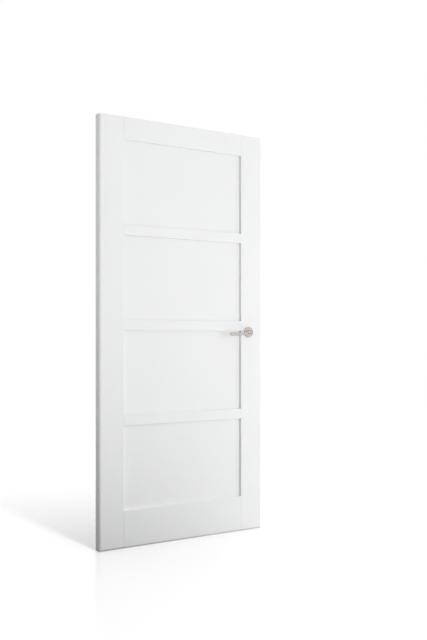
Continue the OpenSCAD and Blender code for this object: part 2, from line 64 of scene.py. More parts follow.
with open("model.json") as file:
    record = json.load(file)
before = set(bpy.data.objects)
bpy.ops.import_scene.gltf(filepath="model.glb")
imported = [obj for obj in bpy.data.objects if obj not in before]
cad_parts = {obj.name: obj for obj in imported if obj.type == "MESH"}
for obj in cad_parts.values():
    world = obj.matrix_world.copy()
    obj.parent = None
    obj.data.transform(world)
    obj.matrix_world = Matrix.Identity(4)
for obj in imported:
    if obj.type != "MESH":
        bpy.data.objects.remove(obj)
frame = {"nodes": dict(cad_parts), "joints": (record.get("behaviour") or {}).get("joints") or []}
cad_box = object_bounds()


def joint(name):
    """One joint of the frame"""
    return next(row for row in frame["joints"] if row["name"] == name)


# Places and sizes that the frame gives
SPINDLE = Vector(joint("handle_turn")["pos_m"])
LATCH_TRAVEL = -joint("latch_slide")["range_m"][0]
FOOT_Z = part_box("hinge_stile")[0].z
LEVER_LOW, LEVER_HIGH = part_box("front_lever")
PLATE_FRONT = -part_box("front_rose_plate")[0].y
SPRING_LOW, SPRING_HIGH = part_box("latch_spring")
GRUB_LOW, GRUB_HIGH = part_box("front_grub_screw")
CLIP_LOW, CLIP_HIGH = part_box("front_clip")
SPINDLE_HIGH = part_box("spindle")[1]

# Nodes that share a finish
UPRIGHT_NODES = ("hinge_stile", "lock_stile", "top_panel", "upper_panel", "lower_panel", "bottom_panel")
ACROSS_NODES = ("top_rail", "upper_mid_rail", "centre_mid_rail", "lower_mid_rail", "bottom_rail")
ZINC_NODES = (
    "lock_case", "case_cover", "case_screws", "follower", "spindle",
    "front_grub_screw", "front_clip", "front_rose_screws",
    "back_grub_screw", "back_clip", "back_rose_screws",
)
FOREND_NODES = ("forend_plate", "forend_screws", "latch_bolt")
ROSE_NODES = ("front_rose_cover", "back_rose_cover")
PLATE_NODES = ("front_rose_plate", "back_rose_plate")

# Axes of a lever's own frame
RIGHT, UP, OUT = Vector((1, 0, 0)), Vector((0, 1, 0)), Vector((0, 0, 1))

WHITE = (1.0, 1.0, 1.0, 1.0)


class LacquerSettings(PropertyGroup):
    """White satin lacquer of the leaf"""

    colour: FloatVectorProperty(
        name="Colour", description="Colour of the lacquer",
        subtype="COLOR", size=3, default=(0.84, 0.845, 0.845)
    )
    roughness: FloatProperty(
        name="Roughness", description="Roughness of the satin finish",
        subtype="FACTOR", min=0, max=1, default=0.55
    )
    ripple: FloatProperty(
        name="Ripple", description="Height of the sprayed coat's ripple",
        unit="LENGTH", default=0.00002, precision=6
    )
    ripple_size: FloatProperty(
        name="Ripple size", description="Width of one ripple",
        unit="LENGTH", default=0.0022, precision=5
    )
    grain: FloatProperty(
        name="Grain", description="Height of the timber's grain under the coat",
        unit="LENGTH", default=0.000012, precision=6
    )


class TimberSettings(PropertyGroup):
    """Bare beech of the dowels"""

    light: FloatVectorProperty(
        name="Light wood", description="Colour between the pores",
        subtype="COLOR", size=3, default=(0.62, 0.42, 0.23)
    )
    dark: FloatVectorProperty(
        name="Dark wood", description="Colour of the pores and rays",
        subtype="COLOR", size=3, default=(0.42, 0.25, 0.12)
    )
    roughness: FloatProperty(
        name="Roughness", description="Roughness of the bare wood",
        subtype="FACTOR", min=0, max=1, default=0.6
    )
    pore_depth: FloatProperty(
        name="Pore depth", description="Depth of the pores",
        unit="LENGTH", default=0.00006, precision=6
    )


class MetalSettings(PropertyGroup):
    """Plated metals and the moulded rose plate"""

    nickel: FloatVectorProperty(
        name="Nickel", description="Colour of the satin nickel",
        subtype="COLOR", size=3, default=(0.605, 0.555, 0.51)
    )
    # Painted shade: a dark edge tint that darkens the nickel's rim where it turns away, in place of dark
    # reflections
    nickel_rim_shade: FloatVectorProperty(
        name="Nickel edge", description="Tint of the nickel where it turns away",
        subtype="COLOR", size=3, default=(0.20, 0.19, 0.18)
    )
    nickel_roughness: FloatProperty(
        name="Nickel roughness", description="Roughness of the satin nickel",
        subtype="FACTOR", min=0, max=1, default=0.2
    )
    brush_depth: FloatProperty(
        name="Brush depth", description="Depth of the nickel's brush lines",
        unit="LENGTH", default=0.000004, precision=6
    )
    zinc: FloatVectorProperty(
        name="Zinc", description="Colour of the zinc plate",
        subtype="COLOR", size=3, default=(0.52, 0.55, 0.58)
    )
    zinc_roughness: FloatProperty(
        name="Zinc roughness", description="Roughness of the zinc plate",
        subtype="FACTOR", min=0, max=1, default=0.38
    )
    zinc_depth: FloatProperty(
        name="Zinc unevenness", description="Depth of the uneven zinc plate",
        unit="LENGTH", default=0.000008, precision=6
    )
    nylon: FloatVectorProperty(
        name="Nylon", description="Colour of the moulded rose plates",
        subtype="COLOR", size=3, default=(0.045, 0.045, 0.05)
    )
    nylon_roughness: FloatProperty(
        name="Nylon roughness", description="Roughness of the moulded rose plates",
        subtype="FACTOR", min=0, max=1, default=0.52
    )
    nylon_depth: FloatProperty(
        name="Nylon texture", description="Depth of the rose plates' texture",
        unit="LENGTH", default=0.00002, precision=6
    )
    edge_radius: FloatProperty(
        name="Edge radius", description="Radius that the finish gives to sharp metal edges",
        unit="LENGTH", default=0.0004, precision=5
    )


class LeverSettings(PropertyGroup):
    """Form of the levers"""

    neck_width: FloatProperty(
        name="Neck", description="Diameter of the neck and of the grip at the bend",
        unit="LENGTH", default=0.013
    )
    waist_width: FloatProperty(
        name="Waist", description="Diameter of the grip at its slimmest",
        unit="LENGTH", default=0.0115
    )
    tip_width: FloatProperty(
        name="Tip", description="Diameter of the grip at its tip",
        unit="LENGTH", default=0.016
    )
    waist_run: FloatProperty(
        name="Waist run", description="Distance of the waist from the bend",
        unit="LENGTH", default=0.055
    )
    drop: FloatProperty(
        name="Drop", description="Drop of the grip below the spindle",
        unit="LENGTH", default=0.010
    )
    drop_run: FloatProperty(
        name="Drop run", description="Length over which the grip drops",
        unit="LENGTH", default=0.050
    )
    elbow_radius: FloatProperty(
        name="Elbow", description="Radius of the bend from the neck to the grip",
        unit="LENGTH", default=0.018
    )
    hub_width: FloatProperty(
        name="Hub", description="Diameter of the hub outside the rose",
        unit="LENGTH", default=0.019
    )
    hub_gap: FloatProperty(
        name="Hub gap", description="Gap between the hub and the rose plate",
        unit="LENGTH", default=0.0003, precision=5
    )
    cove_radius: FloatProperty(
        name="Cove", description="Radius of the cove from the hub to the neck",
        unit="LENGTH", default=0.007
    )
    journal_width: FloatProperty(
        name="Journal", description="Diameter of the journal behind the hub",
        unit="LENGTH", default=0.016
    )
    groove_depth: FloatProperty(
        name="Clip groove", description="Depth of the clip's groove in the journal",
        unit="LENGTH", default=0.001
    )
    chamfer: FloatProperty(
        name="Chamfer", description="Chamfer on the hub's and the journal's edges",
        unit="LENGTH", default=0.0004, precision=5
    )
    play: FloatProperty(
        name="Play", description="Gap around the spindle, the grub screw and the clip",
        unit="LENGTH", default=0.00005, precision=6
    )
    socket_gap: FloatProperty(
        name="Socket gap", description="Gap between the spindle's end and the socket's end",
        unit="LENGTH", default=0.000405, precision=6
    )
    sides: IntProperty(name="Sides", description="Faces round the lever", min=16, max=128, default=64)


class SpringSettings(PropertyGroup):
    """Form of the latch spring"""

    wire: FloatProperty(
        name="Wire", description="Diameter of the wire",
        unit="LENGTH", default=0.0009, precision=5
    )
    turns: IntProperty(name="Turns", description="Turns of the spring", min=3, max=20, default=12)
    closed_pitch: FloatProperty(
        name="Closed pitch", description="Pitch of the two end turns, in diameters of the wire",
        min=1, default=1.02
    )
    turn_steps: IntProperty(
        name="Turn steps", description="Sections in one turn", min=8, max=64, default=32
    )
    sides: IntProperty(name="Sides", description="Faces round the wire", min=6, max=32, default=14)


class StudioSettings(PropertyGroup):
    """Camera, floor and light"""

    camera_place: FloatVectorProperty(
        name="Camera", description="Place of the camera",
        subtype="TRANSLATION", unit="LENGTH", size=3, default=(-1.8006, -3.6208, -0.0228)
    )
    camera_turn: FloatProperty(
        name="Camera turn", description="Turn of the camera from the leaf's normal",
        subtype="ANGLE", default=math.radians(34.049)
    )
    lens: FloatProperty(name="Lens", description="Focal length", unit="CAMERA", default=49.04)
    sensor: FloatProperty(
        name="Sensor", description="Size of the sensor's long side",
        unit="CAMERA", default=36.0
    )
    camera_shift: FloatProperty(
        name="Shift", description="Upward shift of the camera's frame", default=0.0267
    )
    floor_reach: FloatProperty(
        name="Floor reach", description="Distance from the origin to the floor's sides",
        unit="LENGTH", default=300
    )
    floor_colour: FloatVectorProperty(
        name="Floor", description="Colour of the floor",
        subtype="COLOR", size=3, default=(0.6, 0.6, 0.6)
    )
    floor_roughness: FloatProperty(
        name="Floor roughness", description="Roughness of the floor's sheen",
        subtype="FACTOR", min=0, max=1, default=0.24
    )
    floor_ior: FloatProperty(
        name="Floor sheen", description="Refractive index of the floor, which sets how strong its sheen is",
        min=1, default=1.34
    )
    floor_lift: FloatProperty(
        name="Floor lift", description="Glow that lifts the near floor towards white where it is seen",
        min=0, max=1, default=0.133
    )
    fade_start: FloatProperty(
        name="Fade start", description="Distance at which the floor starts to fade to plain white",
        unit="LENGTH", default=4
    )
    fade_end: FloatProperty(
        name="Fade end", description="Distance at which the floor is plain white",
        unit="LENGTH", default=9
    )
    key_power: FloatProperty(
        name="Key light", description="Power of the key light", unit="POWER", default=20.5
    )
    key_place: FloatVectorProperty(
        name="Key place", description="Place of the key light",
        subtype="TRANSLATION", unit="LENGTH", size=3, default=(1.8, -2.8, 0.1)
    )
    key_width: FloatProperty(
        name="Key width", description="Width of the key light", unit="LENGTH", default=1.6
    )
    floor_light: FloatProperty(
        name="Floor light", description="Strength of all the lamps that light the floor alone",
        min=0, default=1.74
    )
    floor_lamps: IntProperty(
        name="Floor lamps", description="Lamps in the fan over the floor", min=2, default=10
    )
    floor_lamp_low: FloatProperty(
        name="Lowest floor lamp", description="Height angle of the fan's lowest lamp",
        subtype="ANGLE", default=math.radians(46)
    )
    floor_lamp_high: FloatProperty(
        name="Highest floor lamp", description="Height angle of the fan's highest lamp",
        subtype="ANGLE", default=math.radians(82)
    )
    ambient: FloatProperty(
        name="Ambient", description="Strength of the light from all round", min=0, default=1.0
    )
    hinge_loss: FloatProperty(
        name="Hinge side loss", description="Share of the ambient light that is missing on the hinge side",
        subtype="FACTOR", min=0, max=1, default=1.0
    )
    overhead: FloatProperty(
        name="Overhead", description="Strength of the lamp straight above", min=0, default=0.45
    )
    overhead_spread: FloatProperty(
        name="Overhead spread", description="Angle over which the lamp straight above is spread",
        subtype="ANGLE", default=math.radians(10)
    )
    floor_return: FloatProperty(
        name="Return", description="Share of light that the floor returns outside its dim patch",
        subtype="FACTOR", min=0, max=1, default=0.66
    )
    dim_return: FloatProperty(
        name="Dim return", description="Share of light that the dim patch's middle returns",
        subtype="FACTOR", min=0, max=1, default=0.10
    )
    dim_place: FloatVectorProperty(
        name="Dim place", description="Middle of the floor's dim patch",
        subtype="TRANSLATION", unit="LENGTH", size=2, default=(-0.55, -0.1)
    )
    dim_reach: FloatProperty(
        name="Dim reach", description="Distance from the dim patch's middle to its edge",
        unit="LENGTH", default=1.55
    )


class Value:
    """One shader socket that takes part in Python sums. Each operator adds a Math node."""

    def __init__(self, graph, socket):
        self.graph = graph
        self.socket = socket

    def __add__(self, other):
        return self.graph.math("ADD", self, other)

    __radd__ = __add__

    def __sub__(self, other):
        return self.graph.math("SUBTRACT", self, other)

    def __rsub__(self, other):
        return self.graph.math("SUBTRACT", other, self)

    def __mul__(self, other):
        return self.graph.math("MULTIPLY", self, other)

    __rmul__ = __mul__

    def __truediv__(self, other):
        return self.graph.math("DIVIDE", self, other)

    def __rtruediv__(self, other):
        return self.graph.math("DIVIDE", other, self)

    def __pow__(self, other):
        return self.graph.math("POWER", self, other)

    def __rpow__(self, other):
        return self.graph.math("POWER", other, self)

    def upto(self, other):
        """The smaller of two values"""
        return self.graph.math("MINIMUM", self, other)

    def atleast(self, other):
        """The larger of two values"""
        return self.graph.math("MAXIMUM", self, other)


class Graph:
    """A node tree that is filled through one method."""

    def __init__(self, tree):
        self.tree = tree
        self.tree.nodes.clear()

    @staticmethod
    def find(sockets, key):
        """The socket with that identifier, or else with that name"""
        return next((socket for socket in sockets if socket.identifier == key), None) or sockets[key]

    def node(self, kind, settings=None, sockets=None, out=None):
        """Adds a node: its settings first, then the values and links of its sockets. Returns one output."""
        made = self.tree.nodes.new(kind)
        for key, value in (settings or {}).items():
            if key == "stops":
                for element, (place, colour) in zip(made.color_ramp.elements, value):
                    element.position = place
                    element.color = opaque(colour)
            else:
                setattr(made, key, value)
        for key, value in (sockets or {}).items():
            socket = self.find(made.inputs, key)
            if isinstance(value, Value):
                self.tree.links.new(value.socket, socket)
            else:
                socket.default_value = value
        if not made.outputs:
            return None
        return Value(self, self.find(made.outputs, out) if out else made.outputs[0])

    def math(self, operation, first, second):
        """A Math node on two values"""
        return self.node("ShaderNodeMath", {"operation": operation}, {"Value": first, "Value_001": second})

    def vector(self, operation, first, second):
        """A Vector Math node on two vectors"""
        sockets = {"Vector": first, "Vector_001": second}
        return self.node("ShaderNodeVectorMath", {"operation": operation}, sockets)

    def mix(self, factor, first, second):
        """A mix of two colours"""
        sockets = {"Factor_Float": factor, "A_Color": first, "B_Color": second}
        return self.node("ShaderNodeMix", {"data_type": "RGBA"}, sockets, "Result_Color")

    def toned(self, colour, tone, dark, light):
        """A colour that goes from a darker to a lighter share of itself as the tone goes from 0 to 1"""
        return self.mix(tone, shaded(colour, dark), shaded(colour, light))

    def mix_shader(self, factor, first, second):
        """A mix of two shaders"""
        sockets = {"Fac": factor, "Shader": first, "Shader_001": second}
        return self.node("ShaderNodeMixShader", {}, sockets)

    def place(self):
        """The point on the piece, in metres, in the leaf's frame"""
        return self.node("ShaderNodeTexCoord", out="Object")

    def stretched_place(self, axis, along, across):
        """The point on the piece, times one scale along an axis and another across it"""
        scales = [across, across, across]
        scales["xyz".index(axis)] = along
        return self.vector("MULTIPLY", self.place(), scales)

    def noise(self, vector, scale=1.0, detail=2.0, roughness=0.5):
        """Smooth noise between 0 and 1"""
        sockets = {"Vector": vector, "Scale": scale, "Detail": detail, "Roughness": roughness}
        return self.node("ShaderNodeTexNoise", {}, sockets, "Fac")

    def bump(self, height, distance, normal=None):
        """The surface's normal, tilted by a height from 0 to 1 that stands for a distance"""
        sockets = {"Height": height, "Distance": distance, "Strength": 1.0}
        if normal is not None:
            sockets["Normal"] = normal
        return self.node("ShaderNodeBump", {}, sockets)

    def rounded(self, radius, samples):
        """The surface's normal with its sharp edges rounded"""
        return self.node("ShaderNodeBevel", {"samples": samples}, {"Radius": radius})

    def surface(self, sockets):
        """The Principled shader and the material's output"""
        shader = self.node("ShaderNodeBsdfPrincipled", {}, sockets)
        self.node("ShaderNodeOutputMaterial", {}, {"Surface": shader})


def opaque(colour):
    """A colour with its alpha"""
    return (*colour, 1.0)


def shaded(colour, share):
    """A colour times a share, with its alpha"""
    return opaque(channel * share for channel in colour)


def swing(middle, *parts):
    """A number that swings round a middle: each part is a noise from 0 to 1 and the span it adds"""
    total = middle - sum(span for _, span in parts) / 2
    for noise, span in parts:
        total = noise * span + total
    return total


def new_material(name):
    """An empty node material and its graph"""
    material = bpy.data.materials.new(name)
    material.use_nodes = True
    return material, Graph(material.node_tree)


def lacquer_material(name, settings, axis):
    """Sprayed satin lacquer over timber whose grain runs along an axis"""
    grain_along, grain_across, cloud_scale = 5.0, 520.0, 2.3
    cloud_tone, grain_tone = 0.7, 0.3
    cloud_span, ripple_span = 0.08, 0.05
    material, graph = new_material(name)
    grain = graph.noise(graph.stretched_place(axis, grain_along, grain_across), detail=3.0, roughness=0.6)
    clouds = graph.noise(graph.place(), cloud_scale)
    ripple = graph.noise(graph.place(), 1.0 / settings.ripple_size, detail=1.5)
    tone = clouds * cloud_tone + grain * grain_tone
    ripple_normal = graph.bump(ripple, settings.ripple)
    graph.surface({
        "Base Color": graph.toned(settings.colour, tone, dark=0.985, light=1.012),
        "Roughness": swing(settings.roughness, (clouds, cloud_span), (ripple, ripple_span)),
        "Normal": graph.bump(grain, settings.grain, ripple_normal),
        "IOR": 1.5,
    })
    return material


def beech_material(settings):
    """Turned beech with its pores and rays running along X"""
    pores_along, pores_across, ring_scales = 60.0, 1400.0, (8.0, 260.0, 420.0)
    pore_tone, ring_tone, pore_span = 0.55, 0.6, 0.2
    dark_stop, light_stop = 0.38, 0.72
    material, graph = new_material("beech")
    pores = graph.noise(graph.stretched_place("x", pores_along, pores_across), detail=3.0, roughness=0.7)
    rings = graph.noise(graph.vector("MULTIPLY", graph.place(), ring_scales))
    tone = pores * pore_tone + rings * ring_tone
    stops = ((dark_stop, settings.dark), (light_stop, settings.light))
    graph.surface({
        "Base Color": graph.node("ShaderNodeValToRGB", {"stops": stops}, {"Fac": tone}),
        "Roughness": swing(settings.roughness, (pores, pore_span)),
        "Normal": graph.bump(pores, settings.pore_depth),
    })
    return material


def brushed_place(graph, brushing):
    """Coordinates in which a brushed finish is plain noise, by the way that the brush ran"""
    lines_along, lines_across, lines_round = 30.0, 5200.0, 1.5
    if brushing != "round":
        return graph.stretched_place(brushing, lines_along, lines_across)
    offset = graph.vector("SUBTRACT", graph.place(), tuple(SPINDLE))
    x, y, z = (graph.node("ShaderNodeSeparateXYZ", {}, {"Vector": offset}, axis) for axis in "XYZ")
    radius = (x * x + z * z) ** 0.5
    angle = graph.math("ARCTAN2", z, x)
    sockets = {"X": radius * lines_across, "Y": angle * lines_round, "Z": y * lines_across}
    return graph.node("ShaderNodeCombineXYZ", {}, sockets)


def nickel_material(name, settings, brushing):
    """Satin nickel plate, brushed one way, with a softened edge and painted shade at its rim"""
    cloud_scale, edge_samples = 55.0, 6
    cloud_tone, line_tone = 0.6, 0.4
    cloud_span, line_span = 0.06, 0.14
    material, graph = new_material(name)
    lines = graph.noise(brushed_place(graph, brushing), roughness=0.6)
    clouds = graph.noise(graph.place(), cloud_scale)
    tone = clouds * cloud_tone + lines * line_tone
    edge = graph.rounded(settings.edge_radius, edge_samples)
    graph.surface({
        "Base Color": graph.toned(settings.nickel, tone, dark=0.93, light=1.06),
        "Metallic": 1.0,
        "Roughness": swing(settings.nickel_roughness, (lines, line_span), (clouds, cloud_span)),
        "Normal": graph.bump(lines, settings.brush_depth, edge),
        # Painted shade: the dark edge tint darkens the rim where the metal turns away, in place of dark
        # reflections
        "Specular Tint": opaque(settings.nickel_rim_shade),
    })
    return material


def zinc_material(settings):
    """Bright zinc plate with a faint spangle"""
    spangle_scale, haze_scale, edge_samples = 420.0, 160.0, 4
    spangle_tone, haze_tone = 0.35, 0.65
    spangle_span, haze_span = 0.06, 0.2
    material, graph = new_material("zinc_steel")
    cells = {"Vector": graph.place(), "Scale": spangle_scale}
    cell_colour = graph.node("ShaderNodeTexVoronoi", {"feature": "F1"}, cells, "Color")
    spangle = graph.node("ShaderNodeRGBToBW", {}, {"Color": cell_colour})
    haze = graph.noise(graph.place(), haze_scale, detail=3.0)
    tone = spangle * spangle_tone + haze * haze_tone
    edge = graph.rounded(settings.edge_radius, edge_samples)
    graph.surface({
        "Base Color": graph.toned(settings.zinc, tone, dark=0.82, light=1.15),
        "Metallic": 1.0,
        "Roughness": swing(settings.zinc_roughness, (haze, haze_span), (spangle, spangle_span)),
        "Normal": graph.bump(haze, settings.zinc_depth, edge),
    })
    return material


def nylon_material(settings):
    """Moulded nylon with a fine spark-eroded texture"""
    texture_scale, flow_scale = 2600.0, 120.0
    flow_tone, texture_tone, texture_span = 0.6, 0.4, 0.2
    material, graph = new_material("nylon")
    texture = graph.noise(graph.place(), texture_scale)
    flow = graph.noise(graph.place(), flow_scale)
    tone = flow * flow_tone + texture * texture_tone
    graph.surface({
        "Base Color": graph.toned(settings.nylon, tone, dark=0.8, light=1.3),
        "Roughness": swing(settings.nylon_roughness, (texture, texture_span)),
        "Normal": graph.bump(texture, settings.nylon_depth),
    })
    return material


def seen_directly(graph):
    """1 where the camera sees a thing, also in gloss or through glass, and 0 elsewhere"""
    camera = graph.node("ShaderNodeLightPath", out="Is Camera Ray")
    gloss = graph.node("ShaderNodeLightPath", out="Is Glossy Ray")
    through = graph.node("ShaderNodeLightPath", out="Is Transmission Ray")
    return camera.atleast(gloss).atleast(through)


def floor_material(studio):
    """A pale floor with a faint sheen that fades to white far away and returns less light near the leaf"""
    dim_falloff = 2.0
    material, graph = new_material("studio_floor")
    offset = graph.vector("SUBTRACT", graph.place(), (*studio.dim_place, FOOT_Z))
    distance = graph.node("ShaderNodeVectorMath", {"operation": "LENGTH"}, {"Vector": offset}, "Value")
    undimmed = (distance / studio.dim_reach).upto(1.0) ** dim_falloff
    dim_return = graph.node("ShaderNodeBsdfDiffuse", {}, {"Color": shaded(WHITE[:3], studio.dim_return)})
    full_return = graph.node("ShaderNodeBsdfDiffuse", {}, {"Color": shaded(WHITE[:3], studio.floor_return)})
    unseen = graph.mix_shader(undimmed, dim_return, full_return)
    far = ((distance - studio.fade_start) / (studio.fade_end - studio.fade_start)).atleast(0.0).upto(1.0)
    near_floor = graph.node("ShaderNodeBsdfPrincipled", {}, {
        "Base Color": opaque(studio.floor_colour),
        "Roughness": studio.floor_roughness,
        "IOR": studio.floor_ior,
        "Emission Color": WHITE,
        "Emission Strength": studio.floor_lift,
    })
    far_floor = graph.node("ShaderNodeEmission", {}, {"Color": WHITE, "Strength": 1.0})
    shader = graph.mix_shader(seen_directly(graph), unseen, graph.mix_shader(far, near_floor, far_floor))
    graph.node("ShaderNodeOutputMaterial", {}, {"Surface": shader})
    return material


def give(nodes, material):
    """Puts a material in every slot of some of the leaf's own nodes"""
    for name in nodes:
        for slot in frame["nodes"][name].material_slots:
            slot.material = material


def loft(name, rings, poles=(None, None)):
    """A closed mesh over rings of points, with a flat end or a pole at each end"""
    mesh = bpy.data.meshes.new(name)
    form = bmesh.new()
    loops = [[form.verts.new(point) for point in ring] for ring in rings]
    for here, after in zip(loops, loops[1:]):
        for index, corner in enumerate(here):
            form.faces.new((here[index - 1], corner, after[index], after[index - 1]))
    for loop, pole in zip((loops[0], loops[-1]), poles):
        if pole is None:
            form.faces.new(loop)
            continue
        top = form.verts.new(pole)
        for index, corner in enumerate(loop):
            form.faces.new((loop[index - 1], corner, top))
    bmesh.ops.recalc_face_normals(form, faces=form.faces)
    form.to_mesh(mesh)
    form.free()
    piece = bpy.data.objects.new(name, mesh)
    bpy.context.scene.collection.objects.link(piece)
    return piece


def smooth(piece, crease):
    """Smooth shading, with edges over an angle left sharp"""
    piece.data.shade_smooth()
    piece.data.set_sharp_from_angle(angle=crease)


def cut(piece, cutters):
    """Takes the cutters' forms out of a piece and removes the cutters"""
    for cutter in cutters:
        modifier = piece.modifiers.new(cutter.name, "BOOLEAN")
        modifier.operation = "DIFFERENCE"
        modifier.solver = "EXACT"
        modifier.object = cutter
    ready = piece.evaluated_get(bpy.context.evaluated_depsgraph_get())
    solid = bpy.data.meshes.new_from_object(ready)
    piece.modifiers.clear()
    old = piece.data
    piece.data = solid
    solid.name = old.name
    bpy.data.meshes.remove(old)
    for cutter in cutters:
        bpy.data.objects.remove(cutter)


def ease(share):
    """An eased step from 0 to 1"""
    return share * share * (3 - 2 * share)


def circle(centre, first, second, radius, sides):
    """Points round a circle that two unit vectors span"""
    angles = (2 * math.pi * index / sides for index in range(sides))
    return [centre + radius * (math.cos(angle) * first + math.sin(angle) * second) for angle in angles]


def hub_profile(sizes, elbow_start):
    """Level and radius along the lever's turned end, from the journal's end to the neck"""
    cove_steps = 14
    journal, hub, neck = sizes.journal_width / 2, sizes.hub_width / 2, sizes.neck_width / 2
    groove = journal - sizes.groove_depth
    journal_end = -LEVER_HIGH.y
    clip_low, clip_high = -CLIP_HIGH.y - sizes.play, -CLIP_LOW.y + sizes.play
    hub_start = PLATE_FRONT + sizes.hub_gap
    points = [
        (journal_end, journal - sizes.chamfer), (journal_end + sizes.chamfer, journal),
        (clip_low, journal), (clip_low, groove), (clip_high, groove), (clip_high, journal),
        (hub_start, journal), (hub_start, hub - sizes.chamfer), (hub_start + sizes.chamfer, hub),
    ]
    middle = neck + sizes.cove_radius
    start = math.acos(min(1.0, (middle - hub) / sizes.cove_radius))
    for step in range(cove_steps + 1):
        turn = start * (1 - step / cove_steps)
        level = elbow_start - sizes.cove_radius * math.sin(turn)
        points.append((level, middle - sizes.cove_radius * math.cos(turn)))
    return points


def grip_width(sizes, run, grip_run):
    """Diameter of the grip at a distance from the bend: it narrows to a waist and swells to the tip"""
    if run < sizes.waist_run:
        return sizes.neck_width + (sizes.waist_width - sizes.neck_width) * ease(run / sizes.waist_run)
    share = (run - sizes.waist_run) / (grip_run - sizes.waist_run)
    return sizes.waist_width + (sizes.tip_width - sizes.waist_width) * ease(share)


def lever_rings(sizes):
    """Rings and end point of a lever in its own frame, which starts on the spindle's axis"""
    elbow_steps, grip_steps, tip_steps = 22, 56, 14
    neck_radius, tip_radius = sizes.neck_width / 2, sizes.tip_width / 2
    grip_level = -LEVER_LOW.y - tip_radius
    elbow_start = grip_level - sizes.elbow_radius
    grip_run = SPINDLE.x - LEVER_LOW.x - sizes.elbow_radius - tip_radius
    profile = hub_profile(sizes, elbow_start)
    rings = [circle(OUT * level, RIGHT, UP, radius, sizes.sides) for level, radius in profile]
    for step in range(1, elbow_steps + 1):
        turn = math.pi / 2 * step / elbow_steps
        away = RIGHT * math.cos(turn) + OUT * math.sin(turn)
        centre = RIGHT * sizes.elbow_radius * (math.cos(turn) - 1)
        centre = centre + OUT * (elbow_start + sizes.elbow_radius * math.sin(turn))
        rings.append(circle(centre, away, UP, neck_radius, sizes.sides))
    for step in range(1, grip_steps + 1):
        run = grip_run * step / grip_steps
        fall = sizes.drop * ease(min(1.0, run / sizes.drop_run))
        centre = Vector((-sizes.elbow_radius - run, -fall, grip_level))
        rings.append(circle(centre, OUT, UP, grip_width(sizes, run, grip_run) / 2, sizes.sides))
    end = Vector((-sizes.elbow_radius - grip_run, -sizes.drop, grip_level))
    for step in range(1, tip_steps):
        turn = math.pi / 2 * step / tip_steps
        centre = end - RIGHT * tip_radius * math.sin(turn)
        rings.append(circle(centre, OUT, UP, tip_radius * math.cos(turn), sizes.sides))
    return rings, end - RIGHT * tip_radius


def to_leaf(point, side):
    """A lever's point in the leaf's frame: side -1 is the front face and 1 the back face"""
    return Vector((SPINDLE.x + point.x, side * point.z, SPINDLE.z + point.y))


def placed(rings, side):
    """A lever's rings in the leaf's frame"""
    return [[to_leaf(point, side) for point in ring] for ring in rings]


def make_lever(name, side, sizes):
    """One lever with its spindle socket and its grub screw's bore"""
    bore_sides, crease = 32, math.radians(32)
    rings, pole = lever_rings(sizes)
    piece = loft(name, placed(rings, side), (None, to_leaf(pole, side)))
    half = SPINDLE_HIGH.z - SPINDLE.z + sizes.play
    socket_ends = (-LEVER_HIGH.y - half, SPINDLE_HIGH.y + sizes.socket_gap)
    corners = ((-half, -half), (half, -half), (half, half), (-half, half))
    socket_rings = [[Vector((x, y, level)) for x, y in corners] for level in socket_ends]
    socket = loft("socket", placed(socket_rings, side))
    grub_radius = (GRUB_HIGH.x - GRUB_LOW.x) / 2 + sizes.play
    grub_level = -(GRUB_LOW.y + GRUB_HIGH.y) / 2
    bore_ends = (GRUB_LOW.z - SPINDLE.z - grub_radius, -half / 2)
    centres = [Vector((0, height, grub_level)) for height in bore_ends]
    bore_rings = [circle(centre, RIGHT, OUT, grub_radius, bore_sides) for centre in centres]
    bore = loft("grub_bore", placed(bore_rings, side))
    cut(piece, [socket, bore])
    smooth(piece, crease)
    return piece


def spring_place(sizes, turns):
    """Place along the latch of the wire's middle after some turns of the spring"""
    start, end = SPRING_LOW.x + sizes.wire / 2, SPRING_HIGH.x - sizes.wire / 2
    closed = sizes.wire * sizes.closed_pitch
    open_turns = sizes.turns - 2
    pitch = (end - start - 2 * closed) / open_turns
    first_turn = min(turns, 1)
    middle_turns = min(max(turns - 1, 0), open_turns)
    last_turn = max(turns - sizes.turns + 1, 0)
    return start + closed * first_turn + pitch * middle_turns + closed * last_turn


def make_spring(name, sizes):
    """The latch spring as a round wire with its end turns closed"""
    crease = math.radians(50)
    coil = (SPRING_HIGH.z - SPRING_LOW.z) / 2 - sizes.wire / 2
    middle = (SPRING_LOW + SPRING_HIGH) / 2
    rings = []
    for step in range(sizes.turns * sizes.turn_steps + 1):
        turns = step / sizes.turn_steps
        angle = 2 * math.pi * turns
        away = Vector((0, math.cos(angle), math.sin(angle)))
        centre = Vector((spring_place(sizes, turns), middle.y, middle.z)) + away * coil
        rings.append(circle(centre, away, Vector((1, 0, 0)), sizes.wire / 2, sizes.sides))
    piece = loft(name, rings)
    smooth(piece, crease)
    return piece


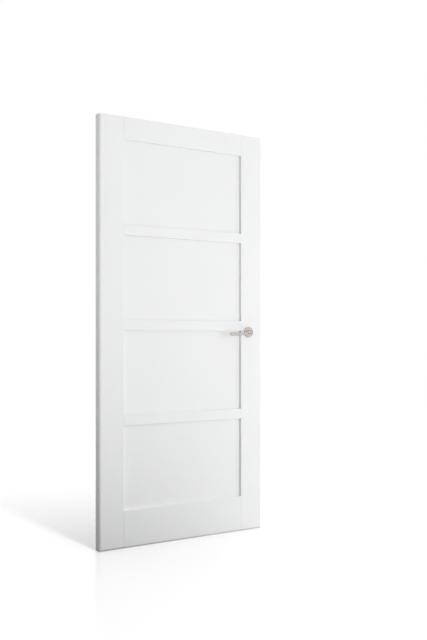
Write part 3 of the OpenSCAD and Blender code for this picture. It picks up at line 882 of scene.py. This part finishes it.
class DOOR_OT_set_studio(Operator):
    """Sets the floor, the light and the camera"""

    bl_idname = "door.set_studio"
    bl_label = "Set the studio"

    def execute(self, context):
        studio = context.scene.door_studio
        floor = self.make_floor(context, studio)
        self.make_floor_lamps(context, studio, floor)
        self.make_overhead(context, studio)
        self.make_key(context, studio)
        self.make_world(context, studio)
        self.make_camera(context, studio)
        context.scene.view_settings.view_transform = "Standard"
        return {"FINISHED"}

    def make_floor(self, context, studio):
        """A wide floor under the leaf"""
        reach = studio.floor_reach
        corners = [(-reach, -reach), (reach, -reach), (reach, reach), (-reach, reach)]
        mesh = bpy.data.meshes.new("studio_floor")
        mesh.from_pydata([(x, y, FOOT_Z) for x, y in corners], [], [range(len(corners))])
        floor = bpy.data.objects.new("studio_floor", mesh)
        context.scene.collection.objects.link(floor)
        mesh.materials.append(floor_material(studio))
        return floor

    def make_floor_lamps(self, context, studio, floor):
        """A fan of lamps in front of the leaf that light the floor alone and leave it the leaf's shadow"""
        receivers = bpy.data.collections.new("floor_lamp_receivers")
        receivers.objects.link(floor)
        step = (studio.floor_lamp_high - studio.floor_lamp_low) / (studio.floor_lamps - 1)
        for index in range(studio.floor_lamps):
            data = bpy.data.lights.new(f"floor_lamp_{index}", "SUN")
            data.energy = studio.floor_light / studio.floor_lamps
            data.angle = step
            light = bpy.data.objects.new(data.name, data)
            light.rotation_euler = (math.pi / 2 - studio.floor_lamp_low - step * index, 0.0, 0.0)
            light.light_linking.receiver_collection = receivers
            context.scene.collection.objects.link(light)

    def make_overhead(self, context, studio):
        """A lamp straight above that lights the ledges over the panels"""
        data = bpy.data.lights.new("overhead_light", "SUN")
        data.energy = studio.overhead
        data.angle = studio.overhead_spread
        light = bpy.data.objects.new("overhead_light", data)
        context.scene.collection.objects.link(light)

    def make_key(self, context, studio):
        """A broad key light in front of the leaf, to the lock side, turned to the leaf's middle"""
        data = bpy.data.lights.new("key_light", "AREA")
        data.shape = "DISK"
        data.size = studio.key_width
        data.energy = studio.key_power
        light = bpy.data.objects.new("key_light", data)
        light.location = studio.key_place
        away = light.location - (cad_box[0] + cad_box[1]) / 2
        light.rotation_euler = away.to_track_quat("Z", "Y").to_euler()
        light.visible_glossy = False
        context.scene.collection.objects.link(light)

    def make_world(self, context, studio):
        """White where it is seen, and elsewhere an ambient light that dims towards the hinge side"""
        world = bpy.data.worlds.new("studio_world")
        world.use_nodes = True
        graph = Graph(world.node_tree)
        seen = seen_directly(graph)
        direction = graph.node("ShaderNodeTexCoord", out="Generated")
        lockward = graph.node("ShaderNodeSeparateXYZ", {}, {"Vector": direction}, "X")
        unseen = (1.0 + lockward.upto(0.0) * studio.hinge_loss) * studio.ambient
        strength = (1.0 - seen) * unseen + seen
        shade = graph.node("ShaderNodeBackground", {}, {"Color": WHITE, "Strength": strength})
        graph.node("ShaderNodeOutputWorld", {}, {"Surface": shade})
        context.scene.world = world

    def make_camera(self, context, studio):
        """A level camera at the fitted place"""
        data = bpy.data.cameras.new("camera")
        data.lens = studio.lens
        data.sensor_width = studio.sensor
        data.shift_y = studio.camera_shift
        camera = bpy.data.objects.new("camera", data)
        camera.location = studio.camera_place
        camera.rotation_euler = (math.pi / 2, 0.0, -studio.camera_turn)
        context.scene.collection.objects.link(camera)
        context.scene.camera = camera


class DOOR_OT_finish_leaf(Operator):
    """Lacquers the stiles, the rails and the panels"""

    bl_idname = "door.finish_leaf"
    bl_label = "Lacquer the leaf"

    def execute(self, context):
        settings = context.scene.door_lacquer
        give(UPRIGHT_NODES, lacquer_material("lacquer_upright", settings, "z"))
        give(ACROSS_NODES, lacquer_material("lacquer_across", settings, "x"))
        return {"FINISHED"}


class DOOR_OT_finish_dowels(Operator):
    """Gives the dowels their bare beech"""

    bl_idname = "door.finish_dowels"
    bl_label = "Finish the dowels"

    def execute(self, context):
        give(("dowels",), beech_material(context.scene.door_timber))
        return {"FINISHED"}


class DOOR_OT_finish_hardware(Operator):
    """Plates the latch, the roses and the fixings, and gives the rose plates their dark nylon"""

    bl_idname = "door.finish_hardware"
    bl_label = "Finish the hardware"

    def execute(self, context):
        settings = context.scene.door_metal
        give(ZINC_NODES, zinc_material(settings))
        give(FOREND_NODES, nickel_material("nickel_forend", settings, "z"))
        give(ROSE_NODES, nickel_material("nickel_rose", settings, "round"))
        give(PLATE_NODES, nylon_material(settings))
        return {"FINISHED"}


class DOOR_OT_make_levers(Operator):
    """Makes the two levers as smooth forms"""

    bl_idname = "door.make_levers"
    bl_label = "Make the levers"

    def execute(self, context):
        material = nickel_material("nickel_lever", context.scene.door_metal, "x")
        for face, side in (("front", -1), ("back", 1)):
            piece = make_lever(f"{face}_lever_smooth", side, context.scene.door_lever)
            piece.data.materials.append(material)
            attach(piece, "handle")
            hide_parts(f"{face}_lever")
        return {"FINISHED"}


class DOOR_OT_make_spring(Operator):
    """Makes the latch spring in place of the packed one"""

    bl_idname = "door.make_spring"
    bl_label = "Make the latch spring"

    def execute(self, context):
        piece = make_spring("latch_spring_wire", context.scene.door_spring)
        piece.data.materials.append(bpy.data.materials["zinc_steel"])
        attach(piece, "leaf")
        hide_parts("latch_spring")
        kept_length = 1 - LATCH_TRAVEL / (SPRING_HIGH.x - SPRING_LOW.x)
        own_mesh(piece)
        return {"FINISHED"}


OPERATORS = (
    DOOR_OT_set_studio, DOOR_OT_finish_leaf, DOOR_OT_finish_dowels,
    DOOR_OT_finish_hardware, DOOR_OT_make_levers, DOOR_OT_make_spring,
)
SETTINGS = {
    "door_lacquer": LacquerSettings, "door_timber": TimberSettings, "door_metal": MetalSettings,
    "door_lever": LeverSettings, "door_spring": SpringSettings, "door_studio": StudioSettings,
}


class DOOR_PT_panel(Panel):
    """Lists the steps and the sizes and colours that they use"""

    bl_idname = "DOOR_PT_panel"
    bl_label = "Door leaf"
    bl_space_type = "VIEW_3D"
    bl_region_type = "UI"
    bl_category = "Door"

    def draw(self, context):
        for operator in OPERATORS:
            self.layout.operator(operator.bl_idname)
        for name, group in SETTINGS.items():
            box = self.layout.box()
            box.label(text=group.__doc__)
            for key in group.__annotations__:
                box.prop(getattr(context.scene, name), key)


def register():
    """Registers the settings, the steps and the panel"""
    for group in SETTINGS.values():
        bpy.utils.register_class(group)
    for name, group in SETTINGS.items():
        setattr(bpy.types.Scene, name, PointerProperty(type=group))
    for operator in OPERATORS:
        bpy.utils.register_class(operator)
    bpy.utils.register_class(DOOR_PT_panel)


def unregister():
    """Takes back what register did, in the opposite order"""
    bpy.utils.unregister_class(DOOR_PT_panel)
    for operator in reversed(OPERATORS):
        bpy.utils.unregister_class(operator)
    for name, group in SETTINGS.items():
        delattr(bpy.types.Scene, name)
        bpy.utils.unregister_class(group)


def main():
    """Runs every step in order"""
    register()
    bpy.ops.door.set_studio()
    bpy.ops.door.finish_leaf()
    bpy.ops.door.finish_dowels()
    bpy.ops.door.finish_hardware()
    bpy.ops.door.make_levers()
    bpy.ops.door.make_spring()


if __name__ == "__main__":
    main()
